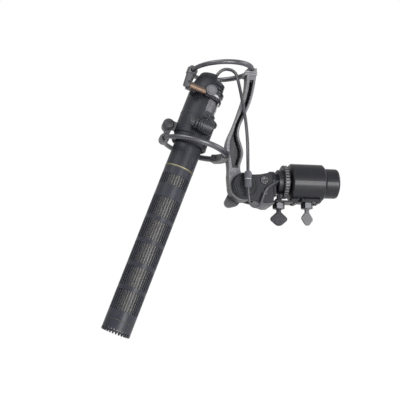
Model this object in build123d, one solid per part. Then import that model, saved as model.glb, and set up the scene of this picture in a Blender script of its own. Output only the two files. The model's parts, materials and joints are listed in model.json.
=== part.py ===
"""Shotgun microphone in an elastic shock mount, on the swivel head of a boom pole.

The pole would screw into the threaded bush of the spigot, so the spigot is the root.
X runs along the pole, towards it.  Z is up.  The origin is the middle of the spigot's
outer end face.  Lengths are in millimetres.
"""
from math import acos, cos, pi, radians, sin, tan
import os

from build123d import *

os.makedirs("parts", exist_ok=True)

# ---------------------------------------------------------------- driving sizes
RUN = 0.05            # radial clearance of a running fit
SEAT = 0.02           # radial clearance of a seated fit between fixed pieces
FREE = 0.3            # gap kept between moving pieces that do not touch

# spigot and sleeve, on the X axis
SPIGOT_R = 11.0
SPIGOT_END = -10.6            # shoulder of the spigot, where the sleeve starts
JOURNAL_R = 10.0
JOURNAL_END = -26.4
BUSH_R = 6.0
BUSH_LENGTH = 13.0
THREAD_R = 4.0                # tapped bore of the bush
SLEEVE_R = 13.8
SLEEVE_LEFT = -36.4
SLEEVE_BORE_STOP = -27.6      # end of the wide bore that holds the journal

# neck and grip collar
NECK_R = 5.8
NECK_END = -29.4
COLLAR_R = SLEEVE_R - 1.4
COLLAR_RIGHT = -38.6
COLLAR_RIBS_LEFT = -42.3
COLLAR_LEFT = -46.4
COLLAR_DRUM_R = 9.0
COLLAR_RIB_COUNT = 34

# clamping screws, on the Z direction
OUTER_SCREW_X = -23.2
INNER_SCREW_X = -44.6
SCREW_R = 2.5
NUT_FLATS = 8.0
NUT_HEIGHT = 4.2
PLATE_T = 1.4
OUTER_PLATE_TOP = -SLEEVE_R + 0.2
INNER_PLATE_TOP = -SLEEVE_R - 0.7
SADDLE_TOP = -SLEEVE_R + 1.8     # inside the curve of the sleeve
PADDLE_DROP = 12.4            # from the nut to the tip of the paddle
PADDLE_HALF = 6.3
PADDLE_T = 2.2
PADDLE_TURN = 38.0            # how far the outer paddle has been left turned

# tilt hub, on the Y direction
HUB_X = -72.0
HUB_Z = -5.1
HUB_R = 9.4                   # fork cheeks
ARM_HUB_R = HUB_R + 1.0       # disc of the arm between them
CHEEK_IN = 6.3                # inner face of each fork cheek
CHEEK_OUT = 8.8
WASHER_T = 0.8
WASHER_R = HUB_R - 0.4
BOLT_R = 3.0
CAP_R = 8.9
CAP_T = 3.4
ARM_HALF = CHEEK_IN - WASHER_T

# microphone, on its own leaning axis
LEAN = 20.7                   # degrees away from Z
FRONT_X = -162.9              # where the axis starts, at the usual front of the tube
FRONT_Z = -110.9
MIC_R = 10.5
TUBE_WALL = 1.0
SLOT_COUNT = 32
SLOT_WIDTH = 1.15
SLOT_ROWS = 5
SHORT_SLOT_START = 111.0
SHORT_SLOT_LENGTH = 8.2
TOOTH_COUNT = 28
TOOTH_DEPTH = 2.2
GROOVE_AT = 8.7
BAND_AT = 125.0               # where the tube meets the gold band
TUBE_LENGTH = 125.0
TUBE_FRONT = BAND_AT - TUBE_LENGTH
SLOT_START = TUBE_FRONT + 15.3
SLOT_PITCH = (SHORT_SLOT_START - SLOT_START) / (SLOT_ROWS + 0.376)
SLOT_LENGTH = SLOT_PITCH - 2.9
BAND_T = 1.2
BODY_END = 168.0

# housing that grips the rear of the microphone
MOUTH_AT = 144.4
LINER_T = 1.1
HOUSING_R = MIC_R + LINER_T + 1.5
FLANGE_AT = 165.2
FLANGE_T = 2.0
SHELL_R = HOUSING_R + 0.9
FLANGE_R = SHELL_R + 0.2
SHELL_AT = 151.0
SHELL_SHOULDER = 190.0
SHELL_END = 200.0
SHELL_END_R = SHELL_R - 3.4
SHELL_T = 1.4
SHELL_EDGE = 4.0              # degrees past the line that faces the front

# cable plug behind the microphone
PLUG_R = MIC_R - 1.9
COUPLING_R = MIC_R + 0.3
GRIP_RING_R = MIC_R + 0.6
PLUG_CAP_R = MIC_R - 1.1
PLUG_END = 198.2
BOOT_R = 2.6
BOOT_TOP = 201.8

# elastic hoops
STRAND_R = 2.0
UPPER_HOOP = (-86.7, 82.8, 22.3, 3.2)       # x, z, radius, rise to the right in degrees
LOWER_HOOP = (-107.1, 23.2, 23.4, -14.1)
SUSPENSION = 2.5              # travel of the cradle each way
BRACKET_NEAR = 15.0           # degrees of the lower hoop gripped before and past the arm
BRACKET_SPAN = 58.0

# leads
CABLE_R = 1.18
PIGTAIL_R = 0.9


# ---------------------------------------------------------------- frames and helpers
POLE = Plane(origin=(0, 0, 0), x_dir=(0, 1, 0), z_dir=(1, 0, 0))
HUB = Plane(origin=(HUB_X, 0, HUB_Z), x_dir=(1, 0, 0), z_dir=(0, -1, 0))
MIC = Plane(
    origin=(FRONT_X, 0, FRONT_Z),
    x_dir=(cos(radians(LEAN)), 0, -sin(radians(LEAN))),
    z_dir=(sin(radians(LEAN)), 0, cos(radians(LEAN))),
)


def save(node, *shapes):
    """Write one node."""
    solids = [solid for shape in shapes for solid in shape.solids()]
    shape = solids[0] if len(solids) == 1 else Compound(children=solids)
    export_step(shape, f"parts/{node}.step")
    print(f"{node}: {len(solids)} solid(s)")
    return shape


def lathe(*profile):
    """Turned piece about Z, from (radius, height) points."""
    return revolve(make_face(Plane.XZ * Polyline(*profile, close=True)), Axis.Z)


def tube(inner, outer, low, high, bevel=0.0):
    """Plain ring about Z with bevelled outer corners."""
    profile = [(inner, low), (outer - bevel, low)]
    if bevel:
        profile += [(outer, low + bevel), (outer, high - bevel)]
    profile += [(outer - bevel, high), (inner, high)]
    return lathe(*profile)


def rod(radius, low, high, bevel=0.0):
    """Plain round bar about Z with bevelled ends."""
    if bevel:
        profile = [(0, low), (radius - bevel, low), (radius, low + bevel)]
        profile += [(radius, high - bevel), (radius - bevel, high), (0, high)]
        return lathe(*profile)
    return Pos(0, 0, (low + high) / 2) * Cylinder(radius, high - low)


def block(x_low, x_high, y_low, y_high, z_low, z_high):
    """Box from its limits."""
    centre = Pos((x_low + x_high) / 2, (y_low + y_high) / 2, (z_low + z_high) / 2)
    return centre * Box(x_high - x_low, y_high - y_low, z_high - z_low)


def ribbed(radius, low, high, count, share, depth):
    """Bar about Z with straight ribs; share is the part of each pitch that is groove."""
    pitch = 2 * pi / count
    corners = []
    for rib in range(count):
        middle = rib * pitch
        half = (1 - share) * pitch / 2
        corners += [(radius - depth, middle - half), (radius, middle - half)]
        corners += [(radius, middle + half), (radius - depth, middle + half)]
    outline = Polyline(*[(r * cos(a), r * sin(a)) for r, a in corners], close=True)
    return Pos(0, 0, low) * extrude(make_face(outline), high - low)


def plate(outline, y_low, y_high):
    """Closed outline in the XZ plane, given thickness along Y."""
    face = make_face(Plane.XZ * outline)
    return extrude(Pos(0, y_high, 0) * face, y_high - y_low, dir=(0, -1, 0))


def socket_screw(head_r, head_t, shank_r, shank, key_r):
    """Cap screw: head above z = 0, shank below, six-sided key in the head."""
    head = rod(head_r, 0, head_t, bevel=head_t * 0.15)
    head -= Pos(0, 0, head_t * 0.45) * extrude(RegularPolygon(key_r, 6), head_t)
    return head + rod(shank_r, -shank, 0)


def hoop_ring(hoop, radius):
    """Ring with a round section, in its own tilted plane."""
    x, z, ring_r, rise = hoop
    return Pos(x, 0, z) * Rot(0, -rise, 0) * Torus(ring_r, radius)


def hoop_point(hoop, side):
    """Middle of the strand at the left (-1) or right (+1) end of a hoop."""
    x, z, ring_r, rise = hoop
    return x + side * ring_r * cos(radians(rise)), z + side * ring_r * sin(radians(rise))


def lead(points, radius, limp=3.0):
    """Round cord along straight runs joined by tangent arcs."""
    bends = []
    for before, here, after in zip(points, points[1:], points[2:]):
        back = Vector(*here) - Vector(*before)
        ahead = Vector(*after) - Vector(*here)
        turn = acos(max(-1, min(1, back.normalized().dot(ahead.normalized()))))
        bends.append(0.45 * min(back.length, ahead.length) / tan(turn / 2))
    print("  bend radii", [round(bend, 1) for bend in bends], "limit", 2 * radius * limp)
    path = FilletPolyline(*points, radius=bends)
    section = Plane(origin=path @ 0, z_dir=path % 0) * Circle(radius)
    cord = sweep(section, path=path)
    print("  volume ratio", round(cord.volume / (section.area * path.length), 4))
    return cord


# ---------------------------------------------------------------- spigot, root
journal = lathe(
    (BUSH_R + SEAT, -BUSH_LENGTH),
    (BUSH_R + SEAT, 0),
    (SPIGOT_R - 1.5, 0),
    (SPIGOT_R - 0.4, -0.5),
    (SPIGOT_R, -1.5),
    (SPIGOT_R, SPIGOT_END + 0.5),
    (SPIGOT_R - 0.5, SPIGOT_END),
    (JOURNAL_R, SPIGOT_END),
    (JOURNAL_R, OUTER_SCREW_X + 2.4),
    (JOURNAL_R - 1.2, OUTER_SCREW_X + 1.9),
    (JOURNAL_R - 1.2, OUTER_SCREW_X - 1.9),
    (JOURNAL_R, OUTER_SCREW_X - 2.4),
    (JOURNAL_R, JOURNAL_END + 0.5),
    (JOURNAL_R - 0.5, JOURNAL_END),
    (4.4, JOURNAL_END),
    (4.4, -BUSH_LENGTH - 1.0),
    (BUSH_R - 1.0, -BUSH_LENGTH),
)
spigot = save("spigot", POLE * journal)
bush = tube(THREAD_R, BUSH_R, -BUSH_LENGTH, 0, bevel=0.3)
save("thread_bush", POLE * bush)

# ---------------------------------------------------------------- sleeve, turns on the spigot
SCREW_HOLE_R = SCREW_R + 0.1
sleeve = lathe(
    (NECK_R + RUN, SLEEVE_LEFT + 0.6),
    (NECK_R + 0.6, SLEEVE_LEFT),
    (SLEEVE_R - 0.9, SLEEVE_LEFT),
    (SLEEVE_R, SLEEVE_LEFT + 0.9),
    (SLEEVE_R, SPIGOT_END - 1.7),
    (SLEEVE_R - 1.4, SPIGOT_END - FREE),
    (JOURNAL_R + RUN, SPIGOT_END - FREE),
    (JOURNAL_R + RUN, SLEEVE_BORE_STOP - 4.0),
    (NECK_R + RUN, SLEEVE_BORE_STOP - 4.0),
)
sleeve = POLE * sleeve
sleeve -= Pos(OUTER_SCREW_X, 0, -SLEEVE_R) * Cylinder(SCREW_HOLE_R, 12)
save("sleeve", sleeve)

barrel_clear = POLE * rod(SLEEVE_R + SEAT, SLEEVE_LEFT - 20, 5)


def clamp_plate(left, right, half_width, top, screw_x):
    """Lug under the sleeve that carries a clamping screw."""
    lug = block(left, right, -half_width, half_width, top - PLATE_T, top)
    lug = fillet(lug.edges().filter_by(Axis.Z), 1.6)
    return lug - Pos(screw_x, 0, top) * Cylinder(SCREW_HOLE_R, 8)


outer_plate = clamp_plate(-29.4, -13.8, 6.6, OUTER_PLATE_TOP - 0.2, OUTER_SCREW_X)
saddle = block(-28.4, -14.8, -5.4, 5.4, OUTER_PLATE_TOP - 0.2, SADDLE_TOP)
saddle -= Pos(OUTER_SCREW_X, 0, -13) * Cylinder(SCREW_HOLE_R, 6)
outer_plate += saddle - barrel_clear
save("outer_clamp_plate", outer_plate)

inner_plate = clamp_plate(-49.2, -30.6, 6.4, INNER_PLATE_TOP, INNER_SCREW_X)
foot = block(-35.8, -31.0, -5.2, 5.2, INNER_PLATE_TOP - 0.2, SADDLE_TOP) - barrel_clear
save("inner_clamp_plate", inner_plate + foot)


def plate_screw(x, y, top):
    """Small countersunk screw that holds a lug to the sleeve."""
    return Pos(x, y, top) * Rot(180, 0, 0) * socket_screw(1.5, 0.8, 0.7, 1.0, 0.7)


screws = [plate_screw(-33.2, side * 3.6, INNER_PLATE_TOP - PLATE_T) for side in (-1, 1)]
screws += [plate_screw(-15.9, side * 4.4, OUTER_PLATE_TOP - 0.2 - PLATE_T) for side in (-1, 1)]
save("clamp_plate_screws", *[s - outer_plate - inner_plate for s in screws])


def hex_nut(x, top, turn):
    """Six-sided nut with rounded corners, hanging below its plate."""
    nut = extrude(RegularPolygon(NUT_FLATS / 2, 6, major_radius=False), NUT_HEIGHT)
    corner = NUT_FLATS / 2 / cos(radians(30))
    nut &= rod(corner - 0.05, 0, NUT_HEIGHT, bevel=0.45)
    nut -= Cylinder(SCREW_R + RUN, 3 * NUT_HEIGHT)
    return Pos(x, 0, top - NUT_HEIGHT) * Rot(0, 0, turn) * nut


OUTER_NUT_TOP = OUTER_PLATE_TOP - 0.2 - PLATE_T
INNER_NUT_TOP = INNER_PLATE_TOP - PLATE_T
nuts = [hex_nut(OUTER_SCREW_X, OUTER_NUT_TOP, 0), hex_nut(INNER_SCREW_X, INNER_NUT_TOP, 0)]
save("clamp_nuts", *nuts)


def wing_screw(x, nut_top, tip_z, dog, turn):
    """Screw with a flat paddle below it and a thinner plain tip, the dog, above."""
    nut_low = nut_top - NUT_HEIGHT
    stem = Pos(x, 0, 0) * rod(SCREW_R, nut_low - 0.3, tip_z - dog)
    stem += Pos(x, 0, 0) * rod(1.5, tip_z - dog - 0.2, tip_z, bevel=0.3)
    neck = Pos(x, 0, 0) * rod(1.8, nut_low - 2.4, nut_low - 0.2)
    mid = nut_low - PADDLE_DROP * 0.6
    low = nut_low - PADDLE_DROP + 4.4
    corners = [(0, nut_low - 3.4, 1.9), (-PADDLE_HALF + 2.0, mid, 2.0)]
    corners += [(PADDLE_HALF - 2.0, mid, 2.0), (0, low, 4.4)]
    rounds = Sketch() + [Pos(px, pz) * Circle(pr) for px, pz, pr in corners]
    outline = make_hull(rounds.edges())
    paddle = extrude(Plane.XZ * outline, PADDLE_T / 2, both=True)
    paddle = chamfer(paddle.edges().group_by(Axis.Y)[0], 0.5)
    paddle = chamfer(paddle.edges().group_by(Axis.Y)[-1], 0.5)
    return stem + neck + Pos(x, 0, 0) * Rot(0, 0, turn) * paddle


OUTER_TIP = -JOURNAL_R + 1.2 - FREE
outer_wing = wing_screw(OUTER_SCREW_X, OUTER_NUT_TOP, OUTER_TIP, 1.2, PADDLE_TURN)
save("outer_wing_screw", outer_wing)
inner_dog = COLLAR_R - COLLAR_DRUM_R
inner_wing = wing_screw(INNER_SCREW_X, INNER_NUT_TOP, -COLLAR_DRUM_R - FREE, inner_dog, 0)
save("inner_wing_screw", inner_wing)

# ---------------------------------------------------------------- swivel head, pans in the sleeve
profile = Polyline(
    (HUB_X, HUB_Z + HUB_R),
    (HUB_X + 7.0, 3.4),
    (-59.8, 3.8),
    (-53.6, 5.2),
    (-50.8, 3.6),
    (-49.9, -12.0),
    (-50.6, -16.6),
    (-56.0, -17.2),
    (-63.0, -16.4),
    (HUB_X, HUB_Z - HUB_R),
    close=True,
)
knuckle = plate(profile, -CHEEK_OUT, CHEEK_OUT)
knuckle = chamfer(knuckle.edges().group_by(Axis.Y)[0], 0.6)
knuckle = chamfer(knuckle.edges().group_by(Axis.Y)[-1], 0.6)
knuckle += HUB * rod(HUB_R, -CHEEK_OUT, CHEEK_OUT, bevel=0.5)
fork_gap = block(HUB_X - 20, -58.2, -CHEEK_IN, CHEEK_IN, -40, 20)
knuckle -= fork_gap
knuckle -= HUB * Cylinder(BOLT_R + SEAT, 4 * CHEEK_OUT)
knuckle += POLE * rod(NECK_R, -52.0, NECK_END, bevel=0.4)
knuckle += POLE * rod(7.6, -52.0, COLLAR_LEFT - 1.6, bevel=0.5)
knuckle += block(-52.0, COLLAR_LEFT - 1.4, -6.0, 6.0, -11.6, -4.0)
ring_groove = POLE * tube(NECK_R - 0.7, NECK_R + 1, NECK_END - 2.0, NECK_END - 1.0)
knuckle -= ring_groove
KEY_SCREWS = [(-57.2, -0.5, 2.9, 1.3), (-57.0, -9.8, 1.9, 0.9)]
for screw_x, screw_z, head_r, shank_r in KEY_SCREWS:
    seat = Plane(origin=(screw_x, -CHEEK_OUT, screw_z), z_dir=(0, -1, 0))
    knuckle -= seat * rod(head_r + 0.25, -0.8, 2)
    knuckle -= seat * rod(shank_r + SEAT, -5.0, 1)
save("knuckle", knuckle)


def key_screw(screw_x, screw_z, head_r, shank_r):
    """Socket screw sunk in the near face of the knuckle."""
    seat = Plane(origin=(screw_x, -CHEEK_OUT + 0.8, screw_z), z_dir=(0, -1, 0))
    return seat * socket_screw(head_r, 1.5, shank_r, 3.8, head_r * 0.5)


save("knuckle_screws", *[key_screw(*entry) for entry in KEY_SCREWS])
save("neck_circlip", POLE * tube(NECK_R - 0.68, 8.2, NECK_END - 1.95, NECK_END - 1.05))

collar = lathe(
    (NECK_R + SEAT, COLLAR_RIGHT + 1.2),
    (NECK_R + SEAT, COLLAR_LEFT),
    (COLLAR_DRUM_R - 1.2, COLLAR_LEFT),
    (COLLAR_DRUM_R, COLLAR_LEFT + 0.8),
    (COLLAR_DRUM_R, COLLAR_RIBS_LEFT),
    (COLLAR_R - 0.8, COLLAR_RIBS_LEFT),
    (COLLAR_R, COLLAR_RIBS_LEFT + 0.6),
    (COLLAR_R, COLLAR_RIGHT - 0.6),
    (COLLAR_R - 0.8, COLLAR_RIGHT),
    (COLLAR_DRUM_R, COLLAR_RIGHT),
    (COLLAR_DRUM_R, COLLAR_RIGHT + 1.2),
)
collar &= ribbed(COLLAR_R, COLLAR_LEFT, COLLAR_RIGHT + 1.2, COLLAR_RIB_COUNT, 0.42, 0.7)
collar = POLE * collar
LEAD_BEND = Vector(-53.8, -11.2, -4.4)
LEAD_END = Vector(COLLAR_LEFT + 1.0, -7.4, -0.4)
lead_axis = Plane(origin=LEAD_END, z_dir=LEAD_BEND - LEAD_END)
collar -= lead_axis * rod(PIGTAIL_R + SEAT, -0.02, 4)
save("grip_collar", collar)

guard = plate(
    Polyline(
        (-64.4, -15.6),
        (-56.0, -17.1),
        (-50.6, -16.5),
        (-49.9, -15.8),
        (-50.0, -17.6),
        (-52.6, -19.6),
        (-56.0, -19.8),
        (-61.4, -18.0),
        close=True,
    ),
    -CHEEK_OUT + 0.8,
    CHEEK_OUT - 0.8,
)
guard = guard - knuckle
save("knuckle_guard", guard)

washers = [HUB * tube(BOLT_R + SEAT, WASHER_R, ARM_HALF, CHEEK_IN)]
washers.append(HUB * tube(BOLT_R + SEAT, WASHER_R, -CHEEK_IN, -ARM_HALF))
save("friction_washers", *washers)

cap = rod(CAP_R, CHEEK_OUT, CHEEK_OUT + CAP_T, bevel=0.7)
cap -= rod(4.2, CHEEK_OUT + 0.0, CHEEK_OUT + 2.2)
for ring_r, ring_w, ring_d in ((7.7, 0.9, 0.5), (5.9, 0.6, 0.5), (4.4, 0.8, 0.9)):
    face = CHEEK_OUT + CAP_T
    cap -= tube(ring_r - ring_w, ring_r, face - ring_d, face + 1)
save("hub_cap", HUB * cap)

LEVER_FACE = -CHEEK_OUT
LEVER_T = 4.4
bolt = rod(BOLT_R, LEVER_FACE - LEVER_T - 2.6, CHEEK_OUT, bevel=0.3)
bolt += rod(4.2 - SEAT, CHEEK_OUT, CHEEK_OUT + 2.1)
save("tilt_bolt", HUB * bolt)

arm_rounds = Sketch() + [Circle(6.0), Pos(-7.4, -9.6) * Circle(3.6), Pos(-2.6, -10.2) * Circle(1.8)]
lever = extrude(make_hull(arm_rounds.edges()), LEVER_T)
lever = Pos(0, 0, LEVER_FACE - FREE - LEVER_T + 0.1) * lever
lever = chamfer(lever.edges().group_by(Axis.Z)[0], 0.7)
lever -= Cylinder(BOLT_R + RUN, 80)
save("tilt_lever", HUB * lever)
nut_low = LEVER_FACE - FREE - LEVER_T - 0.1
acorn = lathe(
    (BOLT_R + SEAT, nut_low),
    (5.0, nut_low),
    (5.0, nut_low - 1.2),
    (4.2, nut_low - 2.0),
    (BOLT_R + SEAT, nut_low - 2.0),
)
save("bolt_nut", HUB * acorn)

# ---------------------------------------------------------------- arm, tilts on the head
left_edge = [(-68.6, 79.0), (-70.9, 63.1), (-74.2, 53.0), (-79.3, 39.5), (-84.2, 26.0)]
left_edge += [(-83.2, 15.0), (-82.9, 3.0)]
right_edge = [(-72.6, 3.0), (-74.4, 9.2), (-72.0, 18.6), (-75.0, 33.0), (-72.2, 44.2)]
right_edge += [(-67.0, 55.5), (-63.4, 68.0), (-61.6, 79.0)]


def between(left_points, right_points, low, high):
    """Face between a curve going down and a curve going up, cut at two heights."""
    left = Spline(*left_points)
    right = Spline(*right_points)
    whole = make_face(
        Curve() + [left, right, Line(left @ 1, right @ 0), Line(right @ 1, left @ 0)]
    )
    return whole & Pos(-75, (low + high) / 2) * Rectangle(60, high - low)


def arm_outline(left_in, right_in, low, high):
    """Outline of the arm between two heights, drawn in from each edge."""
    left = [(x + left_in, z) for x, z in left_edge]
    right = [(x - right_in, z) for x, z in right_edge]
    return between(left, right, low, high)


def arm_slab(sketch, y_low, y_high):
    """Give an arm outline its thickness."""
    return extrude(Pos(0, y_high, 0) * (Plane.XZ * sketch), y_high - y_low, dir=(0, -1, 0))


arm = arm_slab(arm_outline(0, 0, 3.0, 79.0), -ARM_HALF, ARM_HALF)
arm += HUB * rod(ARM_HUB_R, -ARM_HALF, ARM_HALF, bevel=0.5)
foot_outline = Polyline((-82.4, -4.0), (-82.9, 3.1), (-72.6, 3.1), (-69.0, 4.8), (-72, -5), close=True)
arm += plate(foot_outline, -ARM_HALF, ARM_HALF)
arm -= arm_slab(arm_outline(1.9, 1.5, 8.5, 75.5), -ARM_HALF - 1, -ARM_HALF + 2.2)
arm -= arm_slab(arm_outline(1.9, 1.5, 8.5, 75.5), ARM_HALF - 2.2, ARM_HALF + 1)
deep_left = [(x - 4.1, z) for x, z in reversed(right_edge)]
deep_right = [(x - 1.9, z) for x, z in right_edge]
deep = between(deep_left, deep_right, 10.5, 74.5)
arm -= arm_slab(deep, -ARM_HALF - 1, ARM_HALF - 3.2)
arm -= HUB * Cylinder(BOLT_R + RUN, 40)
arm -= hoop_ring(LOWER_HOOP, STRAND_R + SEAT)
PIN_X = -80.6
PIN_Z = 4.4
pin_seat = Plane(origin=(PIN_X, -ARM_HALF, PIN_Z), z_dir=(0, -1, 0))
arm -= pin_seat * rod(0.9 + SEAT, -3.6, 1)
save("arm", arm)
arm_pin = pin_seat * (rod(1.3, 0, 0.5, bevel=0.15) + rod(0.9, -3.5, 0.05))

upper_x, upper_z = hoop_point(UPPER_HOOP, 1)
lower_x, lower_z = hoop_point(LOWER_HOOP, 1)
upper_hoop = hoop_ring(UPPER_HOOP, STRAND_R)
lower_hoop = hoop_ring(LOWER_HOOP, STRAND_R)
save("upper_hoop", upper_hoop)
save("lower_hoop", lower_hoop)

CLIP_HOLE_R = STRAND_R + SEAT


def split_clip(outline, half, hoop, bevel=0.5):
    """Block that grips a hoop, bored along the strand."""
    clip = plate(outline, -half, half)
    clip = chamfer(clip.edges().filter_by(Axis.Y), bevel)
    return clip - hoop_ring(hoop, CLIP_HOLE_R)


top_outline = Polyline(
    (-69.8, 79.0),
    (-61.4, 79.0),
    (-61.0, 79.8),
    (-61.0, 84.6),
    (-67.6, 84.6),
    (-69.8, 82.6),
    close=True,
)
save("arm_top_clip", split_clip(top_outline, ARM_HALF, UPPER_HOOP, 0.3))
bracket_x, bracket_z, bracket_r, bracket_rise = LOWER_HOOP
half = STRAND_R + 0.9
section = Pos(bracket_r, 0) * Rectangle(2 * half, 2 * half)
bracket = revolve(Plane.XZ * chamfer(section.vertices(), 0.5), Axis.Z, BRACKET_SPAN)
heads = [
    Rot(0, 0, angle) * Pos(bracket_r - half - 0.6, 0, 0) * Rot(0, 90, 0) * rod(1.5, 0, 1.0)
    for angle in (18, BRACKET_SPAN - 9)
]
bracket = Rot(0, 0, -BRACKET_NEAR) * (bracket + heads)
bracket = Pos(bracket_x, 0, bracket_z) * Rot(0, -bracket_rise, 0) * bracket
bracket = bracket - arm - hoop_ring(LOWER_HOOP, CLIP_HOLE_R)
save("lower_hoop_bracket", bracket)
save("arm_pin", arm_pin)

# ---------------------------------------------------------------- microphone, in the cradle
def slot_row(low, length):
    """One ring of slots; each cutter passes through both walls."""
    upright = Pos(0, 0, low + length / 2) * Box(2 * MIC_R + 4, SLOT_WIDTH, length)
    return [Rot(0, 0, 360 / SLOT_COUNT * i) * upright for i in range(SLOT_COUNT // 2)]


TUBE_IN = MIC_R - TUBE_WALL
tube_body = lathe(
    (TUBE_IN, TUBE_FRONT + 0.3),
    (TUBE_IN + 0.3, TUBE_FRONT),
    (MIC_R - 0.3, TUBE_FRONT),
    (MIC_R, TUBE_FRONT + 0.3),
    (MIC_R, TUBE_FRONT + GROOVE_AT - 0.3),
    (MIC_R - 0.35, TUBE_FRONT + GROOVE_AT - 0.2),
    (MIC_R - 0.35, TUBE_FRONT + GROOVE_AT + 0.2),
    (MIC_R, TUBE_FRONT + GROOVE_AT + 0.3),
    (MIC_R, BAND_AT),
    (TUBE_IN, BAND_AT),
)
cutters = []
for row in range(SLOT_ROWS):
    cutters += slot_row(SLOT_START + row * SLOT_PITCH, SLOT_LENGTH)
cutters += slot_row(SHORT_SLOT_START, SHORT_SLOT_LENGTH)
tooth = Pos(0, 0, TUBE_FRONT) * Box(4 * MIC_R, 1.1, 2 * TOOTH_DEPTH)
cutters += [Rot(0, 0, 360 / TOOTH_COUNT * i) * tooth for i in range(TOOTH_COUNT // 2)]
save("interference_tube", MIC * (tube_body - cutters))

LINER_R = TUBE_IN - 0.25
CAPSULE_R = TUBE_IN - 2.0
save("acoustic_liner", MIC * tube(LINER_R - 0.5, LINER_R, TUBE_FRONT + 3.4, BAND_AT - 3.6))
save("front_screen", MIC * rod(TUBE_IN - SEAT, TUBE_FRONT + 2.5, TUBE_FRONT + 3.3))
save("gold_band", MIC * tube(TUBE_IN, MIC_R + 0.12, BAND_AT, BAND_AT + BAND_T, bevel=0.15))
save("capsule_seat", MIC * tube(CAPSULE_R, TUBE_IN - SEAT, BAND_AT - 3.4, BAND_AT + 6.0, bevel=0.3))
save("capsule", MIC * rod(CAPSULE_R - SEAT, BAND_AT - 3.2, BAND_AT + 5.4, bevel=0.4))

body = lathe(
    (TUBE_IN, BAND_AT + BAND_T),
    (MIC_R - 0.2, BAND_AT + BAND_T),
    (MIC_R, BAND_AT + BAND_T + 0.3),
    (MIC_R, BODY_END - 0.5),
    (MIC_R - 0.5, BODY_END),
    (TUBE_IN, BODY_END),
)
save("microphone_body", MIC * body)
board = block(1.9 - TUBE_IN, TUBE_IN - 1.9, -0.8, 0.8, BAND_AT + 7.5, BODY_END - 8.2)
for row in range(4):
    chip_z = BAND_AT + 11 + row * 5.5
    board += block(-4.6 + row, 1.2 + row, -2.6, -0.7, chip_z, chip_z + 3.4)
    board += Pos(3.8 - row * 1.6, 0.7, chip_z + 1.5) * Rot(-90, 0, 0) * rod(1.5, 0, 3.2)
save("preamp_board", MIC * board)
insert = rod(TUBE_IN - SEAT, BODY_END - 8, BODY_END - 3, bevel=0.2)
PIN_CIRCLE = 3.6
pins = [turn * rod(1.1, BODY_END - 8, BODY_END + 6, bevel=0.3) for turn in PolarLocations(PIN_CIRCLE, 3)]
insert -= [turn * Pos(0, 0, BODY_END) * Cylinder(1.1 + SEAT, 40) for turn in PolarLocations(PIN_CIRCLE, 3)]
save("pin_insert", MIC * insert)
save("connector_pins", *[MIC * pin for pin in pins])

# ---------------------------------------------------------------- housing
RING_IN = MIC_R + LINER_T
housing = lathe(
    (RING_IN, MOUTH_AT + 0.9),
    (RING_IN + 0.3, MOUTH_AT + 0.2),
    (HOUSING_R - 0.5, MOUTH_AT),
    (HOUSING_R + 0.2, MOUTH_AT + 0.8),
    (HOUSING_R, MOUTH_AT + 2.2),
    (HOUSING_R, FLANGE_AT + FLANGE_T),
    (RING_IN, FLANGE_AT + FLANGE_T),
)
save("housing_ring", MIC * housing)
save("rubber_lining", MIC * tube(MIC_R + SEAT, RING_IN - SEAT, MOUTH_AT + 1.2, FLANGE_AT + 1.6))

open_half = Rot(0, 0, SHELL_EDGE) * block(0.0, 40, -40, 40, 100, 260)
flange = tube(HOUSING_R + SEAT, FLANGE_R, FLANGE_AT, FLANGE_AT + FLANGE_T, bevel=0.3)
shell = lathe(
    (HOUSING_R + SEAT, SHELL_AT + 0.4),
    (SHELL_R - 0.3, SHELL_AT),
    (SHELL_R, SHELL_AT + 0.4),
    (SHELL_R, SHELL_SHOULDER),
    (SHELL_END_R + 0.5, SHELL_END - 0.8),
    (SHELL_END_R, SHELL_END),
    (0, SHELL_END),
    (0, SHELL_END - SHELL_T),
    (SHELL_END_R - 1.4, SHELL_END - SHELL_T),
    (SHELL_R - SHELL_T, SHELL_SHOULDER - 0.6),
    (SHELL_R - SHELL_T, FLANGE_AT + FLANGE_T + 0.02),
    (HOUSING_R + SEAT, FLANGE_AT + FLANGE_T + 0.02),
)
shell -= open_half
shell -= rod(BOOT_R + 0.6, SHELL_END - 5, SHELL_END + 5)
shell = MIC * (shell + flange)
save("half_shell", shell)

# cable plug, rings stacked along the axis
coupling = tube(TUBE_IN - 1.0, COUPLING_R, BODY_END + 0.1, BODY_END + 3.8, bevel=0.3)
coupling &= ribbed(COUPLING_R, BODY_END, BODY_END + 4, 44, 0.4, 0.35)
save("coupling_ring", MIC * coupling)
barrel_low = BODY_END + 0.4
barrel = tube(PLUG_R - 1.6, PLUG_R, BODY_END + 3.9, 182.0, bevel=0.2)
barrel += tube(PLUG_R - 1.6, TUBE_IN - 1.1, barrel_low, BODY_END + 3.9)
save("plug_barrel", MIC * barrel)
sockets = rod(PLUG_R - 1.6 - SEAT, BODY_END + 0.8, 178.0)
sockets -= [turn * Pos(0, 0, BODY_END) * Cylinder(1.1 + SEAT, 13) for turn in PolarLocations(PIN_CIRCLE, 3)]
save("socket_insert", MIC * sockets)
grip_ring = tube(PLUG_R - 1.6, GRIP_RING_R, 182.0, 184.4, bevel=0.3)
grip_ring &= ribbed(GRIP_RING_R, 181.5, 185, 44, 0.45, 0.4)
save("plug_grip_ring", MIC * grip_ring)
save("plug_bright_band", MIC * tube(PLUG_R - 1.6, GRIP_RING_R - 0.7, 184.4, 186.6, bevel=0.25))
back_ring = tube(PLUG_R - 1.6, GRIP_RING_R, 186.6, 190.0, bevel=0.5)
back_ring -= tube(GRIP_RING_R - 1.0, GRIP_RING_R + 1, 188.0, 188.7)
save("plug_back_ring", MIC * back_ring)
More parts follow.
